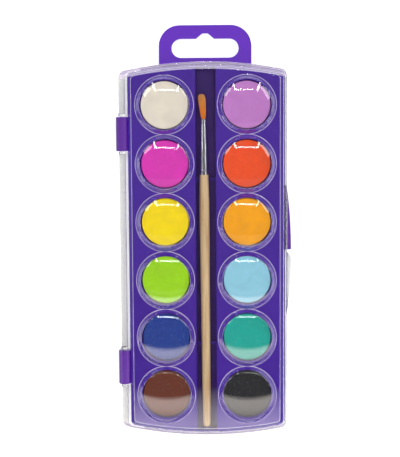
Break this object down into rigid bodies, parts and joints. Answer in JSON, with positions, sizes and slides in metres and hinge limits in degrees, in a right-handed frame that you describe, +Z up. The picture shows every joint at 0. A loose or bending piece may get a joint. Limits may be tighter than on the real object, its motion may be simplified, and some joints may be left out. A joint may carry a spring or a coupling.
{
  "type": "watercolor pan set",
  "caption": "Flat watercolor set: moulded tray with round wells of pressed paint, a brush in a central channel, and a clear hinged lid with mixing domes and a hang tab.",
  "frame": {"origin": "middle of the grid of wells, on the plane that the tray stands on", "axes": "+Z up out of the lid, +Y towards the hang tab, -X towards the hinge"},
  "size_m": [0.0922, 0.2183, 0.0155],
  "materials": {
    "purple_plastic": "smooth moulded, slightly translucent",
    "clear_plastic": "clear, polished",
    "paint_cream": "matte pressed pigment",
    "paint_lilac": "matte pressed pigment",
    "paint_magenta": "matte pressed pigment",
    "paint_orange_red": "matte pressed pigment",
    "paint_yellow": "matte pressed pigment",
    "paint_orange": "matte pressed pigment",
    "paint_lime_green": "matte pressed pigment",
    "paint_light_blue": "matte pressed pigment",
    "paint_dark_blue": "matte pressed pigment",
    "paint_teal_green": "matte pressed pigment",
    "paint_brown": "matte pressed pigment",
    "paint_black": "matte pressed pigment",
    "handle_wood": "plain turned wood, thin clear varnish",
    "ferrule_metal": "bright drawn tube with crimps",
    "bristle_hair": "fine synthetic hair",
    "glue_resin": "cured resin"
  },
  "bodies": {
    "tray": {"tray": "purple_plastic", "paint_cream": "paint_cream", "paint_lilac": "paint_lilac", "paint_magenta": "paint_magenta", "paint_orange_red": "paint_orange_red", "paint_yellow": "paint_yellow", "paint_orange": "paint_orange", "paint_lime_green": "paint_lime_green", "paint_light_blue": "paint_light_blue", "paint_dark_blue": "paint_dark_blue", "paint_teal_green": "paint_teal_green", "paint_brown": "paint_brown", "paint_black": "paint_black"},
    "lid": {"lid": "clear_plastic"},
    "brush": {"brush_handle": "handle_wood", "brush_ferrule": "ferrule_metal", "brush_bristles": "bristle_hair", "brush_glue_plug": "glue_resin"}
  },
  "joints": [
    {"name": "lid_hinge", "type": "hinge", "parent": "tray", "child": "lid", "pos_m": [-0.0439, 0, 0.0078], "axis": [0, -1, 0], "range_deg": [0, 180]},
    {"name": "brush_slide", "type": "slide", "parent": "tray", "child": "brush", "axis": [0, 1, 0], "range_m": [-0.0005, 0.012]}
  ]
}
